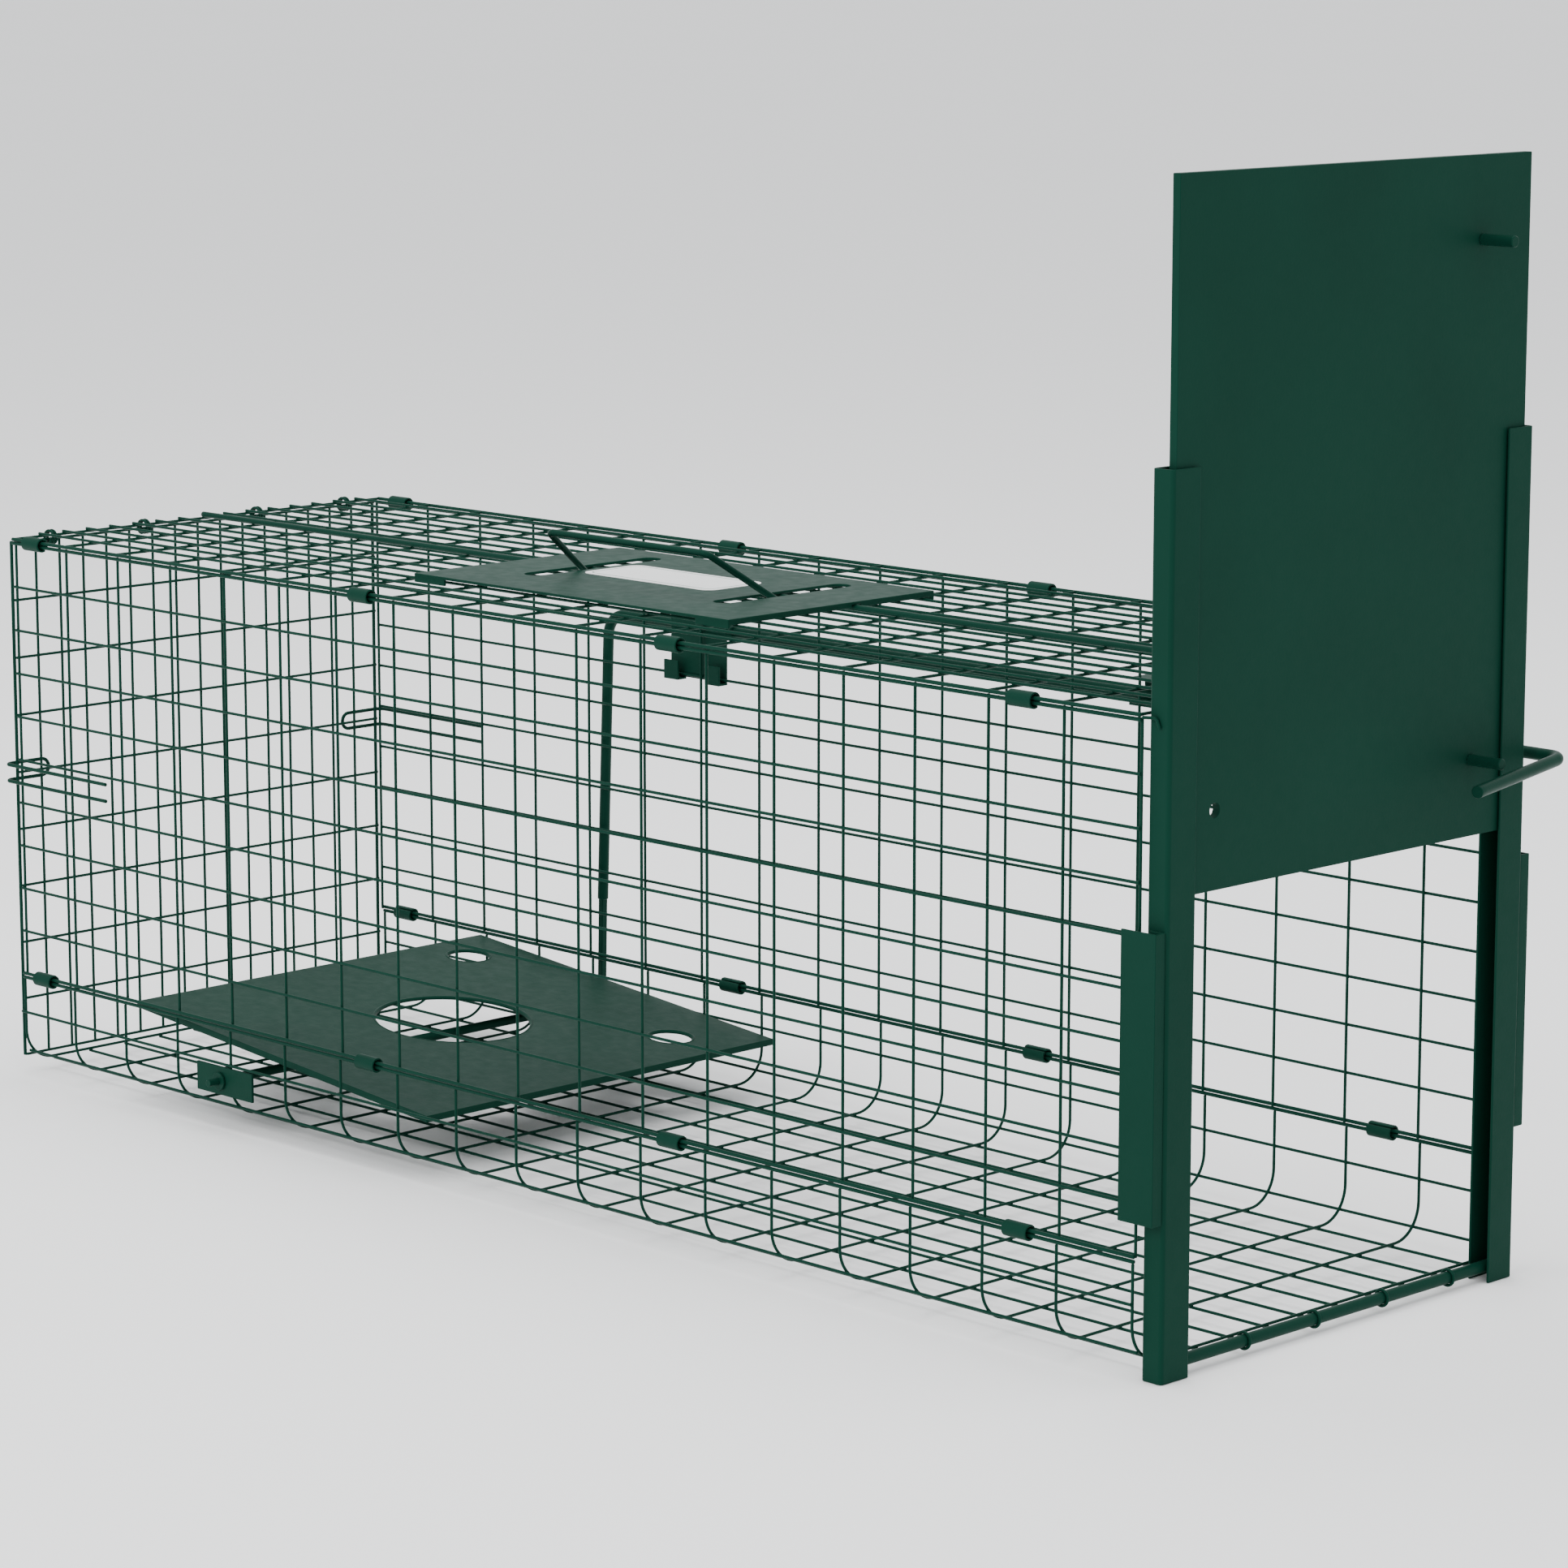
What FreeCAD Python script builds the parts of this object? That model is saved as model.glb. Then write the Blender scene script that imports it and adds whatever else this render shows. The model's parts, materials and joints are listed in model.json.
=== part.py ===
import FreeCAD, Part
import math
import os

V = FreeCAD.Vector

# A collapsible wire-mesh live catch trap with a drop door, a tread pedal and a turning trigger rod.
# Millimetres. +X runs from the rear panel to the door, +Z is up, and left is -Y, seen from the front.
# The parts are drawn in cage coordinates: x = 0 at the rearmost tray wire, y = 0 on the centre plane,
# z = 0 under the uprights. At the end everything is moved so that the origin is the base's centre.

# Cage
PITCH_X = 45.0                 # spacing of the cross wires along the cage
BAYS = 18                      # number of those spacings
LENGTH = PITCH_X * BAYS
HALF_WIDTH = 127.0             # centre plane to the side panels' upright wires
PITCH_Y = HALF_WIDTH / 8       # spacing of the roof's long wires and the rear panel's upright wires
WIRE = 0.75                    # radius of a mesh wire
EDGE = 0.95                    # radius of an edge wire
RIDGE = 1.6                    # radius of the roof's middle wire
EDGE_Y = HALF_WIDTH + WIRE + EDGE
HINGE_LOW = 55.2               # height of the lower hinge lines
HINGE_HIGH = 295.05            # height of the upper hinge lines
PAIR = 1.1                     # half the distance between the two wires of a hinge line
SIDE_ROWS = 10                 # row spacings of a side panel

# Tray
FLOOR_Z = 7.0                  # middle of the tray's cross wires along the floor
TRAY_BEND = 17.5               # bend radius of a tray wire
FLOOR_PITCH = 24.35            # spacing of the floor's long wires
FLOOR_WIRES = 10
TRAY_ROW_Z = 35.0              # long wire on the tray's walls
BEND_ROW_ANGLE = 40.0          # long wire on the tray's bends, degrees below level

# Hinge ferrules
FERRULE_X = (19.0, 292.5, 517.0, 742.0)
FERRULE_LENGTH = 14.5
FERRULE_BORE = 2.8
FERRULE_RADIUS = 3.8

# Rear panel, its rings and its clips
REAR_X = -4.1                  # upright wires of the rear panel
REAR_TOP = 293.9
REAR_ROW = 31.54
REAR_ROWS = 9
ROOF_Z = HINGE_HIGH + PAIR     # cross wires and edge wires of the roof
RING_Y = (6.5 * PITCH_Y, 2.5 * PITCH_Y)
RING_GAP = 2.2
RING_CLEAR = 0.3
CLIP_WIRE = 1.0
CLIP_Z = 168.0
CLIP_HALF = 4.5
CLIP_REACH = 83.0
CLIP_Y = 133.0
CLIP_X = -6.7
CLIP_END_Y = 103.5
CLIP_BEND = 4.0

# Front frame
FRAME_X = 818.0                # middle of the channels, and the bottom bar
CHANNEL_OUT = 6.0              # half the width of a channel's back
CHANNEL_WALL = 1.2
CHANNEL_CORNER = 2.0           # outer radius of the back's two corners
CHANNEL_BACK_Y = 125.0         # outer face of the back
CHANNEL_LIP_Y = 107.0          # free edge of the channel's two sides
UPRIGHT_TOP = 402.0
BAR_Z = 6.4
BAR_RADIUS = 2.9
BAR_HALF = 123.7
LOOP_CLEAR = 0.05
HEADER_Z = (302.0, 320.0)
HEADER_THICK = 1.6
KEEPER_Z = (72.0, 202.0)
KEEPER_X = (803.0, 823.0)
KEEPER_FOOT_X = 815.0
KEEPER_IN_Y = 130.2
KEEPER_OUT_Y = 131.4

# Door
DOOR_HALF = 120.8
DOOR_BOTTOM = 215.8
DOOR_TOP = 526.5
DOOR_FRONT = 822.0
DOOR_DEPTH = 4.2
SHEET = 1.2
PIN_Y = 86.0
PIN_RADIUS = 2.65
PIN_TIP = 840.4
PIN_Z = (251.5, 488.5)
PORT_Y = -92.5                 # small round hole in the door
PORT_Z = 251.3
PORT_RADIUS = 3.3
PORT_COLLAR = 1.0

# Trigger rod and its brackets
ROD_RADIUS = 3.0
ROD_Y = 137.0
ROD_Z = 248.0
ROD_REAR = 186.0
ROD_FRONT = 836.0
ROD_TIP = (849.0, 56.7, 243.6)
LEG_END = (179.5, ROD_Y, 86.0)
ROD_BENDS = (8.0, 13.0)
BEARING_BORE = 3.06
BEARING_RADIUS = 4.3
BRACKET_X = (244.0, 576.0)
BRACKET_LENGTH = 43.0
BRACKET_Y = 129.3
BRACKET_Z = (221.0, 256.0)
TAB_LENGTH = 11.0
TAB_HEIGHT = 9.3
CRADLE_Z = (243.2, 257.2)
CRADLE_BACK_Y = 142.2

# Pedal
AXLE_X = 173.5
AXLE_Z = 25.8
AXLE_RADIUS = 2.5
AXLE_BORE = 2.56
STUB_RADIUS = 1.9
AXLE_LEFT = -131.4
STUB_LEFT = -139.0
AXLE_RIGHT = 144.0
PIVOT_X = (154.0, 200.0)
PIVOT_Z = (18.3, 33.6)
PIVOT_Y = 129.55
PIVOT_THICK = 1.5
PEDAL_REAR = (92.0, 54.5)
PEDAL_FRONT = (330.0, 33.0)
PEDAL_HALF = 122.5
PEDAL_LIP = 3.5
BIG_HOLE = (209.0, 0.0, 42.0)
SMALL_HOLES = ((121.0, 88.0, 12.0), (297.0, 78.0, 12.0))
LUG_Y = (-60.0, 112.0)
ARM_Y = 139.4
ARM_WIDTH = 3.6
ARM_TOP = 85.4

# Handle
PLATE_X = (284.0, 513.0)
PLATE_Y = (-86.8, 54.6)
PLATE_Z = 300.1
PLATE_THICK = 1.5
SLOT_HALF_SPAN = 69.0
SLOT_Y = (-50.8, 39.6)
SLOT_RADIUS = 6.0
LABEL_SIZE = (95.0, 40.0, 0.3)
LABEL_CENTRE = (389.5, -6.5)
LABEL_CORNER = 7.0
BAIL_RADIUS = 1.75
BAIL_PIVOT = (-8.3, 297.4)
BAIL_LEG = 46.5
BAIL_ANGLE = 35.0
BAIL_GRIP_HALF = 57.5
BAIL_HALF = 69.8
BAIL_FOOT = 10.0
BAIL_BEND = 5.0


def rod(start, end, radius):
    """A straight round bar from start to end."""
    a, b = V(*start), V(*end)
    return Part.makeCylinder(radius, a.distanceToPoint(b), a, b - a)


def tube(start, end, outer, inner):
    """A straight round tube from start to end."""
    return rod(start, end, outer).cut(rod(start, end, inner))


def block(low, high):
    """A box between two opposite corners."""
    a, b = V(*low), V(*high)
    return Part.makeBox(b.x - a.x, b.y - a.y, b.z - a.z, a)


def bent_wire(points, bends, radius):
    """A round wire along the points, with a tangent arc at each inner point."""
    knots = [V(*p) for p in points]
    edges, start = [], knots[0]
    for corner, before, after, bend in zip(knots[1:-1], knots, knots[2:], bends):
        back, ahead = (before - corner).normalize(), (after - corner).normalize()
        half = back.getAngle(ahead) / 2
        inward = (back + ahead).normalize()
        centre = corner + inward * (bend / math.sin(half))
        first = corner + back * (bend / math.tan(half))
        last = corner + ahead * (bend / math.tan(half))
        edges.append(Part.makeLine(start, first))
        edges.append(Part.Arc(first, centre - inward * bend, last).toShape())
        start = last
    edges.append(Part.makeLine(start, knots[-1]))
    section = Part.Wire(Part.makeCircle(radius, knots[0], knots[1] - knots[0]))
    return Part.Wire(edges).makePipeShell([section], True, True)


def prism(outline, direction):
    """A closed flat outline, pushed along a direction."""
    corners = [V(*p) for p in outline]
    return Part.Face(Part.makePolygon(corners + corners[:1])).extrude(V(*direction))


def stations():
    """The x of every cross wire."""
    return [PITCH_X * i for i in range(BAYS + 1)]


def tray_cross_wires():
    """U-shaped wires across the tray, butted under the tray's top rods."""
    top = HINGE_LOW - PAIR - EDGE
    return [
        bent_wire([(x, -EDGE_Y, top), (x, -EDGE_Y, FLOOR_Z), (x, EDGE_Y, FLOOR_Z), (x, EDGE_Y, top)],
                  (TRAY_BEND, TRAY_BEND), WIRE)
        for x in stations()
    ]


def tray_long_wires():
    """Long wires on the outside of the tray's floor, bends and walls."""
    start, at_bar = -2 * WIRE, FRAME_X - BAR_RADIUS - LOOP_CLEAR
    out = 2 * WIRE
    at_channel = LENGTH + WIRE
    floor = [(FLOOR_PITCH * (i - (FLOOR_WIRES - 1) / 2), FLOOR_Z - out) for i in range(FLOOR_WIRES)]
    angle = math.radians(BEND_ROW_ANGLE)
    reach = TRAY_BEND + out
    bend_y = EDGE_Y - TRAY_BEND + reach * math.cos(angle)
    bend_z = FLOOR_Z + TRAY_BEND - reach * math.sin(angle)
    ends = [at_bar if abs(y) < CHANNEL_LIP_Y - WIRE else at_channel for y, z in floor]
    wires = [rod((start, y, z), (end, y, z), WIRE) for (y, z), end in zip(floor, ends)]
    for side in (-1, 1):
        for y, z in ((bend_y, bend_z), (EDGE_Y + out, TRAY_ROW_Z)):
            wires.append(rod((start, side * y, z), (at_channel, side * y, z), WIRE))
    return wires


def tray_top_rods():
    z = HINGE_LOW - PAIR
    return [rod((-EDGE, s * EDGE_Y, z), (LENGTH + EDGE, s * EDGE_Y, z), EDGE) for s in (-1, 1)]


def bar_hinge_loops():
    """Every second floor wire is turned round the bottom bar, so that the frame can fold on it."""
    ring = BAR_RADIUS + LOOP_CLEAR + WIRE
    ys = [FLOOR_PITCH * (i - (FLOOR_WIRES - 1) / 2) for i in range(2, FLOOR_WIRES, 2)]
    return [
        Part.makeTorus(ring, WIRE, V(FRAME_X, y - 3 * WIRE, BAR_Z), V(0, 1, 0)) for y in ys
    ]


def side_panel(side):
    """Upright wires inside, rows outside, and a heavier wire along the top and bottom."""
    low, high = HINGE_LOW + PAIR, HINGE_HIGH - PAIR
    y, row_y = side * HALF_WIDTH, side * (HALF_WIDTH + 2 * WIRE)
    wires = [rod((x, y, low - WIRE), (x, y, high + WIRE), WIRE) for x in stations()]
    for k in range(1, SIDE_ROWS):
        z = low + (high - low) * k / SIDE_ROWS
        wires.append(rod((-WIRE, row_y, z), (LENGTH + WIRE, row_y, z), WIRE))
    for z in (low, high):
        wires.append(rod((-EDGE, side * EDGE_Y, z), (LENGTH + EDGE, side * EDGE_Y, z), EDGE))
    return wires


def roof_panel():
    """Cross wires between two edge wires, with the long wires on top."""
    inner = EDGE_Y - EDGE
    wires = [rod((x, -inner, ROOF_Z), (x, inner, ROOF_Z), WIRE) for x in stations()]
    for s in (-1, 1):
        wires.append(rod((-EDGE, s * EDGE_Y, ROOF_Z), (LENGTH + EDGE, s * EDGE_Y, ROOF_Z), EDGE))
        for k in range(1, 8):
            y, z = s * PITCH_Y * k, ROOF_Z + 2 * WIRE
            wires.append(rod((-WIRE, y, z), (LENGTH + WIRE, y, z), WIRE))
    return wires


def roof_ridge_wire():
    z = ROOF_Z + WIRE + RIDGE
    return [rod((WIRE, 0, z), (LENGTH + WIRE, 0, z), RIDGE)]


def ferrules(side, height):
    """Short sleeves, each closed round the two wires of one hinge line."""
    y, half = side * EDGE_Y, FERRULE_LENGTH / 2
    return [
        tube((x - half, y, height), (x + half, y, height), FERRULE_RADIUS, FERRULE_BORE)
        for x in FERRULE_X
    ]


def rear_panel():
    """Upright wires and the rows inside them. It hangs from the roof and covers the rear end."""
    low = REAR_TOP - REAR_ROW * REAR_ROWS
    wires = []
    for k in range(-8, 9):
        radius = EDGE if abs(k) == 8 else WIRE
        x = REAR_X - (radius - WIRE)
        wires.append(rod((x, k * PITCH_Y, low - WIRE), (x, k * PITCH_Y, REAR_TOP + WIRE), radius))
    row_x = REAR_X + 2 * WIRE
    for k in range(REAR_ROWS + 1):
        z = REAR_TOP - REAR_ROW * k
        wires.append(rod((row_x, -HALF_WIDTH, z), (row_x, HALF_WIDTH, z), WIRE))
    return wires


def rear_hinge_rings():
    """Pairs of rings round the roof's rear wire and the rear panel's top row."""
    top = V(REAR_X + 2 * WIRE, 0, REAR_TOP)
    pin = V(0, 0, ROOF_Z)
    ring = top.distanceToPoint(pin) / 2 + WIRE + RING_CLEAR + WIRE
    centre = (top + pin) * 0.5
    return [
        Part.makeTorus(ring, WIRE, V(centre.x, s * y + g * RING_GAP, centre.z), V(0, 1, 0))
        for s in (-1, 1) for y in RING_Y for g in (-1, 1)
    ]


def rear_clip(side):
    """A hairpin of spring wire: its closed end is on the rear panel and its legs run along the side."""
    high, low = CLIP_Z + CLIP_HALF, CLIP_Z - CLIP_HALF
    end = side * (CLIP_END_Y + CLIP_WIRE)
    points = [(CLIP_REACH, side * CLIP_Y, high), (CLIP_X, side * CLIP_Y, high), (CLIP_X, end, high),
              (CLIP_X, end, low), (CLIP_X, side * CLIP_Y, low), (CLIP_REACH, side * CLIP_Y, low)]
    turn = CLIP_HALF - 0.1
    return [bent_wire(points, (CLIP_BEND, turn, turn, CLIP_BEND), CLIP_WIRE)]


def upright(side):
    """A channel with two rounded corners at its back, open towards the door."""
    def profile(inset, lip):
        ys = sorted((side * lip, side * (CHANNEL_BACK_Y - inset)))
        half = CHANNEL_OUT - inset
        bar = block((FRAME_X - half, ys[0], 0), (FRAME_X + half, ys[1], UPRIGHT_TOP))
        back = side * (CHANNEL_BACK_Y - inset)
        corners = [e for e in bar.Edges
                   if e.BoundBox.ZLength > CHANNEL_OUT and abs(e.CenterOfMass.y - back) < CHANNEL_WALL / 2]
        return bar.makeFillet(CHANNEL_CORNER - inset, corners)
    outer = profile(0, CHANNEL_LIP_Y)
    inner = profile(CHANNEL_WALL, CHANNEL_LIP_Y - 1)
    return [outer.cut(inner).removeSplitter()]


def bottom_bar():
    return [rod((FRAME_X, -BAR_HALF, BAR_Z), (FRAME_X, BAR_HALF, BAR_Z), BAR_RADIUS)]


def header_bar():
    """A flat strap that joins the channels behind the door, above the roof."""
    x = FRAME_X - CHANNEL_OUT + CHANNEL_WALL
    half = CHANNEL_BACK_Y - CHANNEL_OUT
    return [block((x, -half, HEADER_Z[0]), (x + HEADER_THICK, half, HEADER_Z[1]))]


def keeper(side):
    """A folded strip with its foot on the channel. It laps over the side panel's front wire."""
    base = CHANNEL_BACK_Y
    web = KEEPER_X[1] - SHEET
    outline = [(KEEPER_X[0], KEEPER_IN_Y), (web, KEEPER_IN_Y), (web, base + SHEET),
               (KEEPER_FOOT_X, base + SHEET), (KEEPER_FOOT_X, base), (KEEPER_X[1], base),
               (KEEPER_X[1], KEEPER_OUT_Y), (KEEPER_X[0], KEEPER_OUT_Y)]
    flat = [(x, side * y, KEEPER_Z[0]) for x, y in outline]
    return [prism(flat, (0, 0, KEEPER_Z[1] - KEEPER_Z[0]))]


def corner_hooks():
    """Wire hooks from the roof's front corners into the channels."""
    z = HINGE_HIGH
    y = CHANNEL_BACK_Y + WIRE + 2 * LOOP_CLEAR
    start, end = LENGTH + EDGE + WIRE / 2, FRAME_X + 1
    return [
        bent_wire([(start, s * EDGE_Y, z), (FRAME_X - 1, s * y, z), (end, s * y, z - 6 * WIRE)], (2.0,), WIRE)
        for s in (-1, 1)
    ]


def door_panel():
    """A shallow sheet pan with its edges turned back, and one small flanged hole."""
    back = DOOR_FRONT - DOOR_DEPTH
    pan = block((back, -DOOR_HALF, DOOR_BOTTOM), (DOOR_FRONT, DOOR_HALF, DOOR_TOP))
    hollow = block((back - 1, -DOOR_HALF + SHEET, DOOR_BOTTOM + SHEET),
                   (DOOR_FRONT - SHEET, DOOR_HALF - SHEET, DOOR_TOP - SHEET))
    collar = rod((back, PORT_Y, PORT_Z), (DOOR_FRONT - SHEET, PORT_Y, PORT_Z), PORT_RADIUS + PORT_COLLAR)
    hole = rod((back - 1, PORT_Y, PORT_Z), (DOOR_FRONT + 1, PORT_Y, PORT_Z), PORT_RADIUS)
    return [pan.cut(hollow).fuse(collar).cut(hole)]


def door_pin(z):
    return [rod((DOOR_FRONT, PIN_Y, z), (PIN_TIP, PIN_Y, z), PIN_RADIUS)]


def trigger_rod():
    """One bent bar: a front arm under the door's lower pin, a long shaft and a rear leg."""
    points = [ROD_TIP, (ROD_FRONT, ROD_Y, ROD_Z), (ROD_REAR, ROD_Y, ROD_Z), LEG_END]
    return [bent_wire(points, ROD_BENDS, ROD_RADIUS)]


def bearing(x):
    """A short round sleeve on the trigger rod's line. Its bore is cut later."""
    return rod((x, ROD_Y, ROD_Z), (x + TAB_LENGTH, ROD_Y, ROD_Z), BEARING_RADIUS)


def rod_bore(x):
    return rod((x - 1, ROD_Y, ROD_Z), (x + BRACKET_LENGTH + 1, ROD_Y, ROD_Z), BEARING_BORE)


def rear_rod_bracket():
    """A plate on the outside of the right panel, with two bearings for the rod."""
    x, outer = BRACKET_X[0], BRACKET_Y + SHEET
    end = x + BRACKET_LENGTH
    plate = block((x, BRACKET_Y, BRACKET_Z[0]), (end, outer, BRACKET_Z[1]))
    for at in (x, end - TAB_LENGTH):
        neck = block((at, outer, ROD_Z - BEARING_BORE), (at + TAB_LENGTH, ROD_Y, ROD_Z + BEARING_BORE))
        plate = plate.fuse(bearing(at).fuse(neck))
    return [plate.cut(rod_bore(x)).removeSplitter()]


def front_rod_bracket():
    """A channel round the rod, open to the mesh, with two bearings on its back."""
    x, back = BRACKET_X[1], CRADLE_BACK_Y - SHEET
    end = x + BRACKET_LENGTH
    channel = block((x, BRACKET_Y, CRADLE_Z[0]), (end, CRADLE_BACK_Y, CRADLE_Z[1]))
    hollow = block((x - 1, BRACKET_Y - 1, CRADLE_Z[0] + SHEET), (end + 1, back, CRADLE_Z[1] - SHEET))
    channel = channel.cut(hollow)
    for at in (x + TAB_LENGTH, end - TAB_LENGTH):
        neck = block((at, ROD_Y, ROD_Z - BEARING_BORE), (at + TAB_LENGTH, back, ROD_Z + BEARING_BORE))
        channel = channel.fuse(bearing(at).fuse(neck))
    return [channel.cut(rod_bore(x)).removeSplitter()]


def bracket_tabs():
    """The rear bracket's tabs, turned up inside the right panel."""
    inside = HALF_WIDTH - WIRE - 2 * SHEET
    z = BRACKET_Z[0]
    tabs = []
    for at in (BRACKET_X[0], BRACKET_X[0] + BRACKET_LENGTH - TAB_LENGTH):
        foot = block((at, inside, z - SHEET), (at + TAB_LENGTH, BRACKET_Y + SHEET, z))
        face = block((at, inside, z), (at + TAB_LENGTH, inside + SHEET, z + TAB_HEIGHT))
        tabs.append(foot.fuse(face).removeSplitter())
    return tabs


def pedal_height(x):
    """Height of the pedal's top face at x."""
    run = (x - PEDAL_REAR[0]) / (PEDAL_FRONT[0] - PEDAL_REAR[0])
    return PEDAL_REAR[1] + run * (PEDAL_FRONT[1] - PEDAL_REAR[1])


def pedal_plate():
    """A tilted tread plate with turned-down edges, one large hole and two small ones."""
    def wedge(inset, top, bottom):
        x0, x1 = PEDAL_REAR[0] + inset, PEDAL_FRONT[0] - inset
        y = PEDAL_HALF - inset
        side = [(x0, -y, pedal_height(x0) - top), (x1, -y, pedal_height(x1) - top),
                (x1, -y, pedal_height(x1) - bottom), (x0, -y, pedal_height(x0) - bottom)]
        return prism(side, (0, 2 * y, 0))
    plate = wedge(0, 0, PEDAL_LIP).cut(wedge(SHEET, SHEET, PEDAL_LIP + 1))
    for x, y, radius in (BIG_HOLE,) + SMALL_HOLES:
        z = pedal_height(x)
        plate = plate.cut(rod((x, y, z - 2 * PEDAL_LIP), (x, y, z + 2 * PEDAL_LIP), radius))
    return [plate]


def pedal_lugs():
    """Two plates under the pedal that are fixed on the axle."""
    half = 4 * AXLE_RADIUS
    lugs = []
    for y in LUG_Y:
        x0, x1 = AXLE_X - half, AXLE_X + half
        side_view = [(x0, y, pedal_height(x0) - SHEET), (x1, y, pedal_height(x1) - SHEET),
                     (AXLE_X + half / 2, y, AXLE_Z - 2 * AXLE_RADIUS),
                     (AXLE_X - half / 2, y, AXLE_Z - 2 * AXLE_RADIUS)]
        lug = prism(side_view, (0, SHEET, 0))
        lugs.append(lug.cut(rod((AXLE_X, y - 1, AXLE_Z), (AXLE_X, y + 2 * SHEET, AXLE_Z), AXLE_RADIUS)))
    return lugs


def pedal_axle():
    shaft = rod((AXLE_X, AXLE_LEFT, AXLE_Z), (AXLE_X, AXLE_RIGHT, AXLE_Z), AXLE_RADIUS)
    stub = rod((AXLE_X, STUB_LEFT, AXLE_Z), (AXLE_X, AXLE_LEFT + 1, AXLE_Z), STUB_RADIUS)
    return [shaft.fuse(stub).removeSplitter()]


def axle_washer():
    """A push-on washer that keeps the axle's left end in its plate."""
    return [tube((AXLE_X, AXLE_LEFT - SHEET, AXLE_Z), (AXLE_X, AXLE_LEFT, AXLE_Z),
                 2.5 * STUB_RADIUS, STUB_RADIUS)]


def trip_arm():
    """An upright arm on the axle's right end. It stands under the trigger rod's rear leg."""
    eye = rod((AXLE_X, ARM_Y, AXLE_Z), (AXLE_X, ARM_Y + ARM_WIDTH, AXLE_Z), 2 * AXLE_RADIUS)
    half, lean = ARM_WIDTH / 2, 1.5
    bar = prism([(AXLE_X - half, ARM_Y, AXLE_Z), (AXLE_X + half, ARM_Y, AXLE_Z),
                 (AXLE_X + lean + half, ARM_Y, ARM_TOP), (AXLE_X + lean - half, ARM_Y, ARM_TOP)],
                (0, ARM_WIDTH, 0))
    arm = eye.fuse(bar).cut(rod((AXLE_X, ARM_Y - 1, AXLE_Z), (AXLE_X, AXLE_RIGHT, AXLE_Z), AXLE_RADIUS))
    return [arm.removeSplitter()]


def pivot_plate(side):
    """A plate on the tray's wall that carries one end of the axle."""
    ys = sorted((side * PIVOT_Y, side * (PIVOT_Y + PIVOT_THICK)))
    plate = block((PIVOT_X[0], ys[0], PIVOT_Z[0]), (PIVOT_X[1], ys[1], PIVOT_Z[1]))
    return [plate.cut(rod((AXLE_X, ys[0] - 1, AXLE_Z), (AXLE_X, ys[1] + 1, AXLE_Z), AXLE_BORE))]


def handle_plate():
    """A sheet on the roof with two slots for the bail and four tabs bent down between the wires."""
    top = PLATE_Z + PLATE_THICK
    plate = block((PLATE_X[0], PLATE_Y[0], PLATE_Z), (PLATE_X[1], PLATE_Y[1], top))
    lip = block((PLATE_X[1] - PLATE_THICK, PLATE_Y[0], PLATE_Z - PLATE_THICK), (PLATE_X[1], PLATE_Y[1], top))
    notch = block((PLATE_X[0], -2 * RIDGE, PLATE_Z - 2 * PLATE_THICK), (PLATE_X[1] + 1, 2 * RIDGE, PLATE_Z))
    plate = plate.fuse(lip.cut(notch))
    tab, drop = 23.0, 3.1
    for x in (PLATE_X[0], PLATE_X[1] - tab):
        for y in (PLATE_Y[0], PLATE_Y[1] - PLATE_THICK):
            plate = plate.fuse(block((x, y, PLATE_Z - drop), (x + tab, y + PLATE_THICK, top)))
    middle = (PLATE_X[0] + PLATE_X[1]) / 2
    low, high = SLOT_Y[0] + SLOT_RADIUS, SLOT_Y[1] - SLOT_RADIUS
    for x in (middle - SLOT_HALF_SPAN, middle + SLOT_HALF_SPAN):
        slot = block((x - SLOT_RADIUS, low, PLATE_Z - 1), (x + SLOT_RADIUS, high, top + 1))
        for y in (low, high):
            slot = slot.fuse(rod((x, y, PLATE_Z - 1), (x, y, top + 1), SLOT_RADIUS))
        plate = plate.cut(slot)
    return [plate.removeSplitter()]


def handle_label():
    """A blank rounded label on the plate."""
    length, width, thick = LABEL_SIZE
    x, y, z = LABEL_CENTRE[0] - length / 2, LABEL_CENTRE[1] - width / 2, PLATE_Z + PLATE_THICK
    sheet = Part.makeBox(length, width, thick, V(x, y, z))
    corners = [e for e in sheet.Edges if abs(e.BoundBox.ZLength - thick) < thick / 10]
    return [sheet.makeFillet(LABEL_CORNER, corners)]


def bail_handle():
    """A wire bail: a grip, two legs through the plate's slots and two feet turned in under it."""
    middle = (PLATE_X[0] + PLATE_X[1]) / 2
    angle = math.radians(BAIL_ANGLE)
    y0, z0 = BAIL_PIVOT
    y1, z1 = y0 - BAIL_LEG * math.cos(angle), z0 + BAIL_LEG * math.sin(angle)
    left = [(middle - BAIL_HALF + BAIL_FOOT, y0, z0), (middle - BAIL_HALF, y0, z0),
            (middle - BAIL_GRIP_HALF, y1, z1)]
    right = [(2 * middle - x, y, z) for x, y, z in reversed(left)]
    small = BAIL_BEND / 2
    return [bent_wire(left + right, (small, BAIL_BEND, BAIL_BEND, small), BAIL_RADIUS)]


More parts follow.
